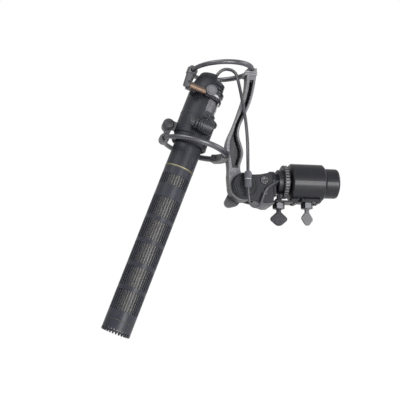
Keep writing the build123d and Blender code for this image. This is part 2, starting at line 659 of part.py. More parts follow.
plug_cap = lathe(
    (BOOT_R + SEAT, 190.0),
    (PLUG_CAP_R - 1.8, 190.0),
    (PLUG_CAP_R - 1.8, 191.0),
    (PLUG_CAP_R + 0.2, 191.3),
    (PLUG_CAP_R + 0.2, 192.9),
    (PLUG_CAP_R - 1.2, 193.1),
    (PLUG_CAP_R - 1.2, 194.0),
    (PLUG_CAP_R, 194.3),
    (PLUG_CAP_R, 196.4),
    (PLUG_CAP_R - 2.2, PLUG_END - 0.2),
    (BOOT_R + SEAT, PLUG_END - 0.2),
)
save("plug_cap", MIC * plug_cap)
boot = lathe(
    (CABLE_R + SEAT, 190.6),
    (BOOT_R, 190.6),
    (BOOT_R, PLUG_END),
    (BOOT_R - 0.6, BOOT_TOP),
    (CABLE_R + SEAT, BOOT_TOP),
)
save("cable_boot", MIC * boot)

# clamp barrels that tighten the housing, lying across the near side
TAN_AT = 182.4
TAN_Y = -SHELL_R - 2.8
GRIP_AT = 157.6
GRIP_Y = -SHELL_R - 4.8
GRIP_R = 5.2


def across(height, depth):
    """Frame of a cross barrel: its Z runs across the microphone, to the right."""
    centre = MIC.from_local_coords(Vector(0, depth, height))
    return Plane(origin=centre, x_dir=(0, 1, 0), z_dir=MIC.x_dir)


TAN = across(TAN_AT, TAN_Y)
LOW = across(GRIP_AT, GRIP_Y)
tan_tube = tube(1.3, 2.2, -16.0, -3.4, bevel=0.15)
save("clamp_spacer", TAN * tan_tube)
star = rod(3.4, -18.6, -16.4, bevel=0.4) & ribbed(3.4, -19, -16, 8, 0.42, 0.7)
save("upper_clamp_screw", TAN * (star + rod(1.3 - RUN, -16.5, 0.8)))
ear = block(-14.2, -10.4, TAN_Y + 0.3, TAN_Y + 9.6, TAN_AT - 3.2, TAN_AT + 3.2)
ear += block(-3.0, 1.8, TAN_Y - 2.3, TAN_Y + 5.2, TAN_AT - 3.2, TAN_AT + 4.4)
ears = MIC * ear - TAN * Cylinder(2.2 + SEAT, 26.0, align=(Align.CENTER, Align.CENTER, Align.MAX))
ears -= TAN * rod(1.3 + RUN, -10, 10)
ears -= MIC * rod(SHELL_R + SEAT, 150, 210)
save("shell_ears", ears)
button_at = Plane(origin=MIC.from_local_coords(Vector(-0.3, TAN_Y - 2.3, TAN_AT + 1.9)), z_dir=(0, -1, 0))
disc = rod(4.0, 0, 1.5, bevel=0.3) - tube(2.7, 3.3, 1.0, 2)
save("upper_clamp_disc", button_at * disc)

grip_clamp = rod(GRIP_R, 0.6, 10.4, bevel=0.6) + rod(GRIP_R - 0.9, -0.4, 1.4)
grip_clamp -= tube(GRIP_R - 0.5, GRIP_R + 1, 1.9, 2.5)
grip_foot = block(1.0, 9.4, GRIP_Y, -9.0, GRIP_AT - 3.6, GRIP_AT + 3.6)
clamp_body = LOW * grip_clamp + MIC * grip_foot
clamp_body -= LOW * rod(1.5 + RUN, -5, 7.0)
clamp_body -= MIC * rod(SHELL_R + SEAT, 140, 210)
save("lower_clamp_barrel", clamp_body)
knob = rod(3.0, -6.8, -2.6, bevel=0.5) & ribbed(3.0, -8, 0, 18, 0.5, 0.4)
knob += rod(GRIP_R - 0.8, -2.7, -0.8, bevel=0.4)
save("lower_clamp_knob", LOW * (knob + rod(1.5, -1, 6.5, bevel=0.2)))

pin_at = Pos(PLUG_R + 0.2, -4.2, 0)
post = pin_at * rod(0.6, BODY_END + 4.1, 182.0) + pin_at * rod(1.0, 180.6, 182.0)
save("latch_pin", MIC * post)

# elbows that hold the left ends of the hoops
ELBOW_R = STRAND_R + 1.9
ELBOW_U = -17.6               # where the left end of the upper hoop is
EYE = (-18.45, 142.5)         # where the left end of the lower hoop is
EYE_R = STRAND_R + 1.5
KNOB_U = -19.4
KNOB_AT = 152.6
KNOB_R = 4.2
upper_elbow = lathe(
    (0, 186.4),
    (2.6, 186.4),
    (3.3, 195.2),
    (3.3, 196.0),
    (ELBOW_R, 196.2),
    (ELBOW_R, 200.6),
    (ELBOW_R - 1.5, 202.7),
    (0, 202.9),
)
upper_elbow = Pos(ELBOW_U, 0, 0) * upper_elbow + block(ELBOW_U, -11.0, -2.4, 2.4, 184.9, 190.6)
upper_elbow = MIC * upper_elbow - MIC * rod(SHELL_R + SEAT, 150, SHELL_SHOULDER + 0.1)
shell_cone = [(SHELL_R + SEAT, SHELL_SHOULDER), (SHELL_END_R + 0.6, SHELL_END)]
upper_elbow -= MIC * lathe((0, SHELL_SHOULDER), *shell_cone, (0, SHELL_END))
upper_elbow -= hoop_ring(UPPER_HOOP, CLIP_HOLE_R)
save("upper_elbow", upper_elbow)


def lying(radius, at, low, high, bevel=0.0):
    """Bar along Y at a place given across and along the microphone."""
    return Plane(origin=(at[0], 0, at[1]), z_dir=(0, -1, 0)) * rod(radius, low, high, bevel)


lower_elbow = lying(EYE_R, EYE, -4.2, 4.2, 0.5)
lower_elbow += block(EYE[0] - 1.9, EYE[0] + 2.4, -3.0, 3.0, EYE[1], KNOB_AT)
lower_elbow += lying(KNOB_R, (KNOB_U, KNOB_AT), -3.4, 3.4, 0.5)
lower_elbow += block(KNOB_U, -12.0, -3.0, 3.0, KNOB_AT - 0.8, KNOB_AT + 4.6)
lower_elbow -= lying(1.2 + RUN, (KNOB_U, KNOB_AT), -1.0, 9)
lower_elbow = MIC * lower_elbow - hoop_ring(LOWER_HOOP, CLIP_HOLE_R)
lower_elbow -= MIC * rod(SHELL_R + SEAT, SHELL_AT - 0.2, 210)
lower_elbow -= MIC * rod(HOUSING_R + FREE, 130, SHELL_AT)
save("lower_elbow", lower_elbow)
elbow_axis = Plane(origin=MIC.from_local_coords(Vector(KNOB_U, -3.4, KNOB_AT)), z_dir=(0, -1, 0))
elbow_knob = rod(KNOB_R, 0.2, 4.6, bevel=0.5) & ribbed(KNOB_R, 0, 5, 18, 0.5, 0.5)
elbow_knob += rod(1.2, -3.8, 0.4)
save("elbow_knob", elbow_axis * elbow_knob)

# ---------------------------------------------------------------- leads
cable_start = MIC.from_local_coords(Vector(0, 0, BOOT_TOP - 5.6))
cable_top = MIC.from_local_coords(Vector(0, 0, BOOT_TOP + 7.0))
cable_points = [
    tuple(cable_start),
    tuple(cable_top),
    (-77.0, -3.0, 83.4),
    (-75.0, -6.8, 71.0),
    (-73.0, -8.4, 58.0),
    (-70.8, -9.2, 44.0),
    (-70.4, -13.2, 27.0),
    (-71.4, -17.6, 13.0),
    (-71.4, -17.6, 2.0),
]
save("microphone_cable", lead(cable_points, CABLE_R))

JOIN_TOP = 3.6
JOIN_MID = -2.0
JOIN_LOW = -8.2
join = Plane(origin=(-71.4, -17.6, 0), z_dir=(0, 0, 1))
upper_join = lathe(
    (CABLE_R + SEAT, JOIN_TOP),
    (2.0, JOIN_TOP),
    (2.7, JOIN_TOP - 1.0),
    (2.7, JOIN_MID),
    (CABLE_R + SEAT, JOIN_MID),
)
lower_join = lathe(
    (PIGTAIL_R + SEAT, JOIN_MID - 0.02),
    (2.5, JOIN_MID - 0.02),
    (2.5, JOIN_LOW + 1.2),
    (1.7, JOIN_LOW),
    (PIGTAIL_R + SEAT, JOIN_LOW),
)
save("cable_socket", join * upper_join)
save("cable_plug", join * lower_join)

pigtail_points = [
    (-71.4, -17.6, -5.0),
    (-71.4, -17.6, -11.8),
    (-69.8, -15.8, -21.4),
    (-61.2, -10.9, -21.2),
    (-58.6, -11.4, -11.2),
    tuple(LEAD_BEND),
    tuple(LEAD_END),
]
save("pigtail_lead", lead(pigtail_points, PIGTAIL_R))
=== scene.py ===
# %% [markdown]
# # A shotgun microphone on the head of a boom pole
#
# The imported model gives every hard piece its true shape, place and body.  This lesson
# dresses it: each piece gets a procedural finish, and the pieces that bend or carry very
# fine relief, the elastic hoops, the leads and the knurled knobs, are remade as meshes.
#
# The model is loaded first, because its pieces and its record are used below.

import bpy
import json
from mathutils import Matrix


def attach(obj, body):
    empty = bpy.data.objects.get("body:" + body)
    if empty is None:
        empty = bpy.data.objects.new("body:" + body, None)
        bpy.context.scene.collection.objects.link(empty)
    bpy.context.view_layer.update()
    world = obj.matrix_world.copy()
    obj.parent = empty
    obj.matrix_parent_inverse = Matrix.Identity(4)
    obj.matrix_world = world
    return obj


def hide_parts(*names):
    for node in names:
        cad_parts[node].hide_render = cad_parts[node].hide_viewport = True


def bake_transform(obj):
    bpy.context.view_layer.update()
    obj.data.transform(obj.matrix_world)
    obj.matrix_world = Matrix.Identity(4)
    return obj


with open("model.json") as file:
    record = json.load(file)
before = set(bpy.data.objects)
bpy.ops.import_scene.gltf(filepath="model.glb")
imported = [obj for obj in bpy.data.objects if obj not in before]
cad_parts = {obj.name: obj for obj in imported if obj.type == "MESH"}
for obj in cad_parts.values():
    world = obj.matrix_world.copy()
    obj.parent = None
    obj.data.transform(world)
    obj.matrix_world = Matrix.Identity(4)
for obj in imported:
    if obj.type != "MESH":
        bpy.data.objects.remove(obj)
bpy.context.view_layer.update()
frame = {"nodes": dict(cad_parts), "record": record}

# %% [markdown]
# ## Helpers for places
#
# The record is in metres and so is Blender.  Small parts are easier to think about in
# millimetres, so `mm` turns one into the other.  Two frames come up again and again: the
# pole runs along X, and the microphone leans in the XZ plane.  A frame is kept as a
# matrix, so any local point can be placed with one multiplication.

# %% Units and frames
import json
from math import cos, pi, radians, sin

import bpy
from mathutils import Matrix, Vector

LEAN = radians(20.7)


def mm(value):
    """Millimetres to metres."""
    return value / 1000


def point(x, y, z):
    """A point given in millimetres."""
    return Vector((mm(x), mm(y), mm(z)))


def frame_at(origin, x_dir, z_dir):
    """Matrix whose Z column is an axis; distances stay in metres."""
    z = Vector(z_dir).normalized()
    x = (Vector(x_dir) - z * z.dot(Vector(x_dir))).normalized()
    matrix = Matrix((x, z.cross(x), z)).transposed().to_4x4()
    matrix.translation = origin
    return matrix


FRONT = point(-162.9, 0, -110.9)
MIC_UP = Vector((sin(LEAN), 0, cos(LEAN)))
MIC_RIGHT = Vector((cos(LEAN), 0, -sin(LEAN)))
MIC = frame_at(FRONT, MIC_RIGHT, MIC_UP)


def on_mic(u, y, s):
    """A point from its distance right, back and up along the microphone, in millimetres."""
    return MIC @ point(u, y, s)


print("rear of the cable boot at", [round(v, 4) for v in on_mic(0, 0, 201.8)])

# %% [markdown]
# ## A small language for shaders
#
# A finish is a sum of a few patterns, and it reads best when it is written as a sum.
# `Wire` wraps the output of a node and overloads the arithmetic operators, so
# `0.3 + 0.1 * grain` adds the Math nodes by itself.  `Bench` is one material being made:
# its method `add` makes any node, sets its settings first, and then fills its sockets.

# %% Shader workbench
class Wire:
    """The output of a node, for use in expressions."""

    def __init__(self, bench, socket):
        self.bench = bench
        self.socket = socket

    def _with(self, operation, first, second):
        return self.bench.add("ShaderNodeMath", {"operation": operation}, {0: first, 1: second})

    def __add__(self, other):
        return self._with("ADD", self, other)

    __radd__ = __add__

    def __sub__(self, other):
        return self._with("SUBTRACT", self, other)

    def __rsub__(self, other):
        return self._with("SUBTRACT", other, self)

    def __mul__(self, other):
        return self._with("MULTIPLY", self, other)

    __rmul__ = __mul__

    def __pow__(self, other):
        return self._with("POWER", self, other)

    def highest(self, other):
        return self._with("MAXIMUM", self, other)


class Bench:
    """One material on the bench."""

    def __init__(self, name, shine=0.5):
        self.material = bpy.data.materials.new(name + "_look")
        self.material.use_nodes = True
        self.tree = self.material.node_tree
        self.shader = self.tree.nodes["Principled BSDF"]
        self.shader.inputs["Specular IOR Level"].default_value = shine

    def add(self, kind, settings=None, inputs=None, output=0):
        """Make a node: settings first, then the values or links of its sockets."""
        node = self.tree.nodes.new(kind)
        for name, value in (settings or {}).items():
            if name == "stops":
                ramp = node.color_ramp
                for element, (place, grey) in zip(ramp.elements, value):
                    element.position = place
                    element.color = (grey, grey, grey, 1)
            else:
                setattr(node, name, value)
        for name, value in (inputs or {}).items():
            self.fill(node.inputs[name], value)
        return Wire(self, node.outputs[output])

    def fill(self, socket, value):
        """Link a wire to a socket, or store a plain value in it."""
        if isinstance(value, Wire):
            self.tree.links.new(value.socket, socket)
        else:
            socket.default_value = value

    def place(self):
        """Where on the piece a point lies, in metres, whatever the pose."""
        return self.add("ShaderNodeTexCoord", output=3)

    def turned(self, scale, matrix):
        """The place seen from a leaning frame, stretched by a scale on each axis."""
        inverse = matrix.inverted()
        turn = inverse.to_euler()
        settings = {"vector_type": "POINT"}
        values = {"Vector": self.place(), "Location": inverse.translation, "Rotation": turn}
        local = self.add("ShaderNodeMapping", settings, values)
        return self.add("ShaderNodeMapping", settings, {"Vector": local, "Scale": scale})

    def noise(self, scale, detail=3.0, vector=None, roughness=0.55):
        """Cloudy pattern from 0 to 1; scale is in cycles per metre."""
        values = {"Vector": vector or self.place(), "Scale": scale, "Detail": detail}
        values["Roughness"] = roughness
        return self.add("ShaderNodeTexNoise", {}, values)

    def steps(self, wire, low, high):
        """Stretch a pattern so that low becomes black and high white."""
        return self.add("ShaderNodeValToRGB", {"stops": [(low, 0.0), (high, 1.0)]}, {"Fac": wire})

    def mix(self, share, first, second):
        """Blend two colours."""
        settings = {"data_type": "RGBA", "blend_type": "MIX"}
        return self.add("ShaderNodeMix", settings, {0: share, 6: first, 7: second}, output=2)

    def soft_edges(self, radius):
        """Normal that rounds sharp edges, so that they catch a thin line of light."""
        return self.add("ShaderNodeBevel", {"samples": 6}, {"Radius": radius})

    def relief(self, height, strength, depth, normal=None):
        """Turn a pattern into small hills and hollows."""
        values = {"Height": height, "Strength": strength, "Distance": depth}
        if normal:
            values["Normal"] = normal
        return self.add("ShaderNodeBump", {}, values)

    def done(self, **sockets):
        """Fill the shader's sockets by name, with underscores for spaces."""
        for name, value in sockets.items():
            self.fill(self.shader.inputs[name.replace("_", " ")], value)
        print("finish", self.material.name)
        return self.material


def colour(red, green, blue):
    """A colour with full alpha."""
    return (red, green, blue, 1.0)


def shade(tone, factor):
    """The same colour, lighter or darker."""
    return tuple(min(1.0, channel * factor) for channel in tone[:3]) + (1.0,)


FINISH = {}


# %% [markdown]
# ## Moulded plastic and lacquered metal
#
# Most of the object is black, and black only looks real through its sheen.  A moulded or
# lacquered surface has two scales: a fine tooth, which scatters the highlight, and slow
# clouds of handling wear, which move the roughness up and down.  Edges rub bright first.
# The worn line is found by comparing the true normal with a rounded one: they differ only
# near an edge.  One recipe covers all of these finishes, and only its numbers change.

# %% Satin surface
def worn_edges(bench, radius):
    """White near sharp edges, black elsewhere."""
    rounded = bench.soft_edges(radius)
    true = bench.add("ShaderNodeNewGeometry", output=1)
    product = {"operation": "DOT_PRODUCT"}
    along = bench.add("ShaderNodeVectorMath", product, {0: rounded, 1: true}, 1)
    return bench.steps(1 - along, 0.01, 0.12), rounded


def satin(
    name, tone, gloss, tooth=2600, bite=0.12, wear=2.4, metal=0.0, coat=0.0, edge=0.18, shine=0.13
):
    """Moulded or lacquered surface: fine tooth, slow clouds, lighter edges."""
    bench = Bench(name, shine)
    clouds = bench.noise(95, 4)
    grain = bench.noise(tooth, 2)
    smudge = bench.steps(bench.noise(210, 5, roughness=0.7), 0.35, 0.75)
    edges, rounded = worn_edges(bench, mm(edge))
    skin = bench.mix(clouds, shade(tone, 0.75), shade(tone, 1.3))
    skin = bench.mix(edges * (0.35 + 0.5 * grain), skin, shade(tone, wear + 1.6))
    rough = gloss + 0.1 * clouds + 0.07 * smudge + 0.05 * grain
    normal = bench.relief(grain, bite, mm(0.05), rounded)
    FINISH[name] = bench.done(
        Base_Color=skin, Roughness=rough, Metallic=metal, Coat_Weight=coat, Normal=normal
    )
    return FINISH[name]


BLACK = colour(0.0062, 0.0064, 0.0084)
satin("housing_black", shade(BLACK, 1.5), 0.32, bite=0.16)
satin("head_black", shade(BLACK, 0.9), 0.3, tooth=1900, bite=0.3)
satin("adapter_black", shade(BLACK, 0.7), 0.36, tooth=3200, bite=0.06, coat=0.1)
satin("black_anodised", shade(BLACK, 1.4), 0.27, bite=0.08, metal=0.3, shine=0.4)
satin("mic_black", shade(BLACK, 1.6), 0.3, tooth=3400, bite=0.08)
satin("tube_black", shade(BLACK, 2.0), 0.28, tooth=3400, bite=0.08)
satin("insert_black", shade(BLACK, 0.9), 0.22)
satin("barrel_grey", colour(0.065, 0.065, 0.07), 0.28, metal=0.3, bite=0.05)
satin("elbow_grey", colour(0.024, 0.024, 0.027), 0.32, bite=0.25, wear=6.0, shine=0.3)
satin("guard_grey", colour(0.032, 0.032, 0.035), 0.3, bite=0.12, wear=4.0)
satin("join_grey", colour(0.034, 0.034, 0.041), 0.25, bite=0.06, coat=0.2)
satin("wing_grey", colour(0.06, 0.06, 0.062), 0.36, bite=0.2)
satin("screw_black", colour(0.014, 0.014, 0.015), 0.22, wear=24.0, metal=0.5, shine=0.4, edge=0.3)

# %% [markdown]
# ## Ribs with a painted highlight
#
# The collar that is gripped to pan the head has ribs round its rim.  Their tops get a painted
# highlight, and the gaps between them keep the dark base tone.  The distance from the pole's
# axis tells the two apart, so the finish needs no image mask and stays right as the collar turns.

# %% Grip collar
def ribs_painted_highlight(name, tone, rib_highlight, gloss, radius):
    """Ribbed moulding about the pole's axis: painted highlight on the ribs above a radius."""
    bench = Bench(name, 0.2)
    grain = bench.noise(1900, 2)
    clouds = bench.noise(110, 4)
    down = bench.add("ShaderNodeSeparateXYZ", {}, {0: bench.place()}, 2)
    back = bench.add("ShaderNodeSeparateXYZ", {}, {0: bench.place()}, 1)
    reach = (down * down + back * back) ** 0.5
    # Painted highlight mask: white on the rib tops beyond the radius, which are painted pale for
    # the light they catch.
    high = bench.steps((reach - radius) * 5000, 0.0, 1.0)
    edges, rounded = worn_edges(bench, mm(0.2))
    skin = bench.mix(clouds, shade(tone, 0.7), shade(tone, 1.4))
    skin = bench.mix(edges * 0.5, skin, shade(tone, 4.0))
    skin = bench.mix(high * (0.7 + 0.3 * grain), skin, rib_highlight)
    normal = bench.relief(grain, 0.14, mm(0.05), rounded)
    FINISH[name] = bench.done(Base_Color=skin, Roughness=gloss + 0.1 * clouds, Normal=normal)
    return FINISH[name]


RIB_TOPS = mm(12.1)
# The pale colour passed here is the painted highlight of the rib tops.
ribs_painted_highlight("collar_black", shade(BLACK, 0.7), colour(0.062, 0.062, 0.066), 0.36, RIB_TOPS)

# %% [markdown]
# ## Grained web of the arm
#
# The arm is a glass-filled moulding.  Its web has a spark-eroded grain that reads as a
# speckled dark grey, while the flanges around it stay smooth; the light they catch is painted
# into their colour as a pale rim.  The grain is a cell pattern under a noise, and it also
# lifts the colour a little where the tops have been rubbed.  The same grain, coarser, covers
# one of the two paddles.

# %% Arm
def grained(name, tone, cell, gloss, depth, rim=None, rim_at=0.0, lift=1.8, shine=0.3):
    """Spark-eroded grain; past a distance from the middle plane the smooth faces are painted pale
    as lit.
    """
    bench = Bench(name, shine)
    values = {"Vector": bench.place(), "Scale": cell}
    cells = bench.add("ShaderNodeTexVoronoi", {"feature": "F1"}, values)
    fine = bench.noise(cell * 2.2, 3)
    clouds = bench.noise(70, 4)
    edges, rounded = worn_edges(bench, mm(0.25))
    hills = bench.steps(cells, 0.1, 0.7) * 0.6 + fine * 0.4
    skin = bench.mix(clouds, shade(tone, 0.8), shade(tone, 1.25))
    skin = bench.mix(hills * 0.5, skin, shade(tone, lift))
    # Painted light: faces past rim_at, the smooth flanges, are painted in the pale rim colour for
    # the light they catch.
    if rim:
        depth_in = bench.add("ShaderNodeSeparateXYZ", {}, {0: bench.place()}, 1)
        outside = bench.add("ShaderNodeMath", {"operation": "ABSOLUTE"}, {0: depth_in})
        outside = bench.steps((outside - rim_at) * 2000, 0.0, 1.0)
        skin = bench.mix(outside * (0.75 + 0.25 * clouds), skin, rim)
    skin = bench.mix(edges * 0.7, skin, shade(rim or tone, 1.7 if rim else 3.2))
    normal = bench.relief(hills, 0.35, mm(depth), rounded)
    FINISH[name] = bench.done(Base_Color=skin, Roughness=gloss + 0.12 * hills, Normal=normal)
    return FINISH[name]


# Painted light: the pale colour of the flanges where they catch light, painted into the finish.
ARM_LIT_RIM = colour(0.08, 0.08, 0.085)
FLANGE_FROM = mm(4.6)
arm_tone, paddle_tone = colour(0.012, 0.012, 0.014), colour(0.004, 0.004, 0.005)
grained("arm_grey", arm_tone, 2300, 0.38, 0.08, ARM_LIT_RIM, FLANGE_FROM, shine=0.22)
grained("wing_textured", paddle_tone, 1100, 0.42, 0.5, lift=9.0, shine=0.13)

# %% [markdown]
# ## Turned and plated metal
#
# A turned piece keeps the fine rings that the tool left, so its highlight breaks into
# thin bands.  The rings are a noise stretched across the turning axis.  The same recipe
# makes steel, brass, the pale gold band and the copper-plated spacer by changing the tone.

# %% Metals
def turned_metal(name, tone, gloss, matrix, ring=5200, stain=0.35, coat=0.0):
    """Metal with tool rings about the Z axis of a frame."""
    bench = Bench(name)
    rings = bench.noise(1.0, 2, bench.turned((60, 60, ring), matrix))
    clouds = bench.noise(320, 5, roughness=0.65)
    edges, rounded = worn_edges(bench, mm(0.12))
    skin = bench.mix(clouds * stain, tone, shade(tone, 0.45))
    skin = bench.mix(rings * 0.35, skin, shade(tone, 1.25))
    skin = bench.mix(edges * 0.6, skin, shade(tone, 1.5))
    rough = gloss + 0.16 * rings + 0.1 * clouds
    normal = bench.relief(rings, 0.18, mm(0.03), rounded)
    FINISH[name] = bench.done(
        Base_Color=skin, Metallic=1.0, Roughness=rough, Coat_Weight=coat, Normal=normal
    )
    return FINISH[name]


POLE = frame_at(point(0, 0, 0), (0, 1, 0), (1, 0, 0))
HUB = frame_at(point(-72, 0, -5.1), (1, 0, 0), (0, -1, 0))
ACROSS = frame_at(on_mic(0, -16.8, 182.4), (0, 1, 0), MIC_RIGHT)
UPRIGHT = Matrix.Identity(4)
turned_metal("gold", colour(0.12, 0.11, 0.075), 0.42, MIC, stain=0.25)
turned_metal("copper", colour(0.115, 0.08, 0.06), 0.36, ACROSS, stain=0.4, coat=0.1)
turned_metal("brass_bush", colour(0.6, 0.45, 0.2), 0.28, POLE)
turned_metal("steel_bright", colour(0.22, 0.22, 0.23), 0.26, HUB)
turned_metal("band_grey", colour(0.2, 0.2, 0.215), 0.3, MIC)
turned_metal("disc_grey", colour(0.085, 0.085, 0.093), 0.36, HUB, ring=3000)
turned_metal("nut_dark", colour(0.06, 0.06, 0.066), 0.28, UPRIGHT)
turned_metal("capsule_metal", colour(0.5, 0.5, 0.51), 0.3, MIC)
turned_metal("pin_gold", colour(0.8, 0.6, 0.28), 0.2, MIC)

# %% [markdown]
# ## Rubber, cable jacket and woven screen
#
# Rubber is dark, has almost no colour, and blooms to a dusty grey where it is not
# handled.  The screen behind the slots is a woven steel and silk cloth: two sets of
# threads crossing at right angles round the tube.  A weave only needs two sine waves,
# one over the angle and one over the height, so it is written straight as shader maths.

# %% Soft finishes
def rubbery(name, tone, gloss, bloom=0.5, shine=0.35, bite=0.18):
    """Matt rubber with bloom."""
    bench = Bench(name, shine)
    dust = bench.steps(bench.noise(130, 5, roughness=0.7), 0.4, 0.8)
    grain = bench.noise(3800, 2)
    skin = bench.mix(dust * bloom, tone, shade(tone, 2.6))
    normal = bench.relief(grain + 0.5 * dust, bite, mm(0.04))
    FINISH[name] = bench.done(Base_Color=skin, Roughness=gloss + 0.14 * dust, Normal=normal)
    return FINISH[name]


rubbery("rubber_black", colour(0.012, 0.012, 0.013), 0.55)
rubbery("hoop_elastic", colour(0.011, 0.011, 0.015), 0.3, bloom=0.3, shine=0.5, bite=0.07)
rubbery("cable_black", colour(0.013, 0.013, 0.016), 0.36, bloom=0.3, bite=0.1)


SCREEN_RADIUS = mm(9.2)


def woven_screen(name, thread, gap, pitch):
    """Cloth of crossing threads round the microphone's axis; pitch is in metres."""
    bench = Bench(name)
    local = bench.turned((1, 1, 1), MIC)
    split = {"X": 0, "Y": 1, "Z": 2}
    parts = {}
    for axis, index in split.items():
        parts[axis] = bench.add("ShaderNodeSeparateXYZ", {}, {0: local}, index)
    angle = bench.add("ShaderNodeMath", {"operation": "ARCTAN2"}, {0: parts["Y"], 1: parts["X"]})
    per_turn = round(2 * pi * SCREEN_RADIUS / pitch)
    wave = {"operation": "SINE"}
    warp = bench.add("ShaderNodeMath", wave, {0: angle * per_turn})
    weft = bench.add("ShaderNodeMath", wave, {0: parts["Z"] * (2 * pi / pitch)})
    height = warp.highest(weft) * 0.5 + 0.5
    fluff = bench.noise(5200, 3)
    skin = bench.mix(height * (0.8 + 0.2 * fluff), gap, thread)
    normal = bench.relief(height, 0.25, mm(0.12))
    FINISH[name] = bench.done(Base_Color=skin, Roughness=0.6 + 0.2 * fluff, Normal=normal)
    return FINISH[name]


WEAVE = mm(0.3)
woven_screen("mesh_dark", colour(0.13, 0.125, 0.108), colour(0.055, 0.053, 0.047), WEAVE)

# %% [markdown]
# ## The circuit board
#
# The preamplifier board is hidden in the body, yet it shows when the part is taken
# apart.  Solder lacquer is a glossy green with copper tracks under it.  A brick pattern
# makes rows of tracks cheaply.

# %% Board
bench = Bench("board_green")
tracks = bench.add("ShaderNodeTexBrick", {}, {"Vector": bench.place(), "Scale": 700.0}, 1)
speck = bench.noise(2500, 3)
lacquer = bench.mix(tracks, colour(0.01, 0.09, 0.035), colour(0.03, 0.2, 0.07))
FINISH["board_green"] = bench.done(
    Base_Color=bench.mix(speck * 0.4, lacquer, colour(0.01, 0.05, 0.03)),
    Roughness=0.22 + 0.15 * speck,
    Normal=bench.relief(tracks, 0.3, mm(0.05)),
)

# %% [markdown]
# ## Put the finishes on the hard pieces
#
# The record names a material slot for every node, and each finish above has the name of
# its slot, so dressing the whole model is one loop.  Only the blackened screws of the
# knuckle differ from the other fasteners of their slot, with bright worn rims.

# %% Dress the nodes
slot_of = {part["node"]: part["material_slot"] for part in frame["record"]["subparts"]}
for node, item in frame["nodes"].items():
    for holder in item.material_slots:
        holder.material = FINISH[slot_of[node]]
for holder in frame["nodes"]["knuckle_screws"].material_slots:
    holder.material = FINISH["screw_black"]
print("dressed", len(slot_of), "nodes")

# %% [markdown]
# ## Mesh tools
#
# Three tools cover the remade pieces.  A `tube_along` follows a line of points with a
# ring of vertices at each; the ring is carried along without twisting by parallel
# transport.  A `grid_drum` is a turned surface whose radius may change with height and
# angle, which makes knurling real geometry.  `piece` turns vertices and faces into an
# object whose faces are shaded smooth up to an angle that is still read as a sharp edge.

# %% Mesh tools
SHARP_FROM = radians(38)


def piece(name, vertices, faces, finish, slot=None):
    """New mesh object with a finish."""
    mesh = bpy.data.meshes.new(name)
    mesh.from_pydata([tuple(v) for v in vertices], [], faces)
    mesh.update()
    mesh.polygons.foreach_set("use_smooth", [True] * len(mesh.polygons))
    mesh.set_sharp_from_angle(angle=SHARP_FROM)
    item = bpy.data.objects.new(name, mesh)
    bpy.context.collection.objects.link(item)
    mesh.materials.append(FINISH[finish])
    return item


def ring_faces(rings, sides, closed=False):
    """Quads between neighbouring rings of vertices."""
    faces = []
    for ring in range(rings if closed else rings - 1):
        for side in range(sides):
            following = (side + 1) % sides
            here, there = ring * sides, ((ring + 1) % rings) * sides
            faces.append((here + side, here + following, there + following, there + side))
    return faces


def tube_along(line, radius_at, sides=24, closed=False):
    """Vertices and faces of a round tube; radius_at gets the share of the way."""
    count = len(line)
    up = (line[1] - line[0]).orthogonal()
    vertices = []
    for index, centre in enumerate(line):
        before = line[index - 1] if index or closed else line[0]
        after = line[(index + 1) % count] if index < count - 1 or closed else line[-1]
        ahead = (after - before).normalized()
        up = (up - ahead * up.dot(ahead)).normalized()
        across = ahead.cross(up)
        radius = radius_at(index / (count - 1))
        for side in range(sides):
            turn = 2 * pi * side / sides
            vertices.append(centre + up * (radius * cos(turn)) + across * (radius * sin(turn)))
    faces = ring_faces(count, sides, closed)
    if not closed:
        faces.append(tuple(reversed(range(sides))))
        faces.append(tuple(range((count - 1) * sides, count * sides)))
    return vertices, faces


def grid_drum(matrix, heights, radius_at, sides):
    """Turned solid about Z of a frame; radius_at gets height and angle, in metres."""
    vertices = []
    for height in heights:
        for side in range(sides):
            turn = 2 * pi * side / sides
            radius = radius_at(height, turn)
            vertices.append(matrix @ Vector((radius * cos(turn), radius * sin(turn), height)))
    faces = ring_faces(len(heights), sides)
    faces.append(tuple(reversed(range(sides))))
    faces.append(tuple(range((len(heights) - 1) * sides, len(heights) * sides)))
    return vertices, faces


# %% [markdown]
# ## Elastic hoops
#
# Each hoop is a moulded elastomer ring that carries the weight of the microphone. It is
# held in the arm on one side and in an elbow on the other, so it thickens towards the
# arm, where it is stretched least. A plain torus can't taper, so the ring is a tube
# along a circle.

# %% Hoops
HOOPS = {
    "upper_hoop": (point(-86.7, 0, 82.8), mm(22.3), radians(3.2), mm(1.98)),
    "lower_hoop": (point(-107.1, 0, 23.2), mm(23.4), radians(-14.1), mm(2.3)),
}
RING_STEPS = 144
THIN_SIDE = mm(1.6)


def hoop_band(node, thin):
    """Tapered ring in place of a plain one."""
    centre, reach, rise, thick = HOOPS[node]
    right = Vector((cos(rise), 0, sin(rise)))
    back = Vector((0, 1, 0))
    line = []
    for step in range(RING_STEPS):
        turn = 2 * pi * step / RING_STEPS
        line.append(centre + right * (reach * cos(turn)) + back * (reach * sin(turn)))

    def radius_at(share):
        nearness = 0.5 + 0.5 * cos(2 * pi * share)
        return thin + (thick - thin) * nearness

    band = piece(node + "_band", *tube_along(line, radius_at, 28, closed=True), "hoop_elastic")
    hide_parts(node)
    inset = right * reach * 0.8
    centre + inset
    centre - inset
    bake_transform(band)
    print(node, "thickness", round(2000 * thin, 2), "to", round(2000 * thick, 2), "mm")
    return band


for hoop_node in HOOPS:
    hoop_band(hoop_node, THIN_SIDE)
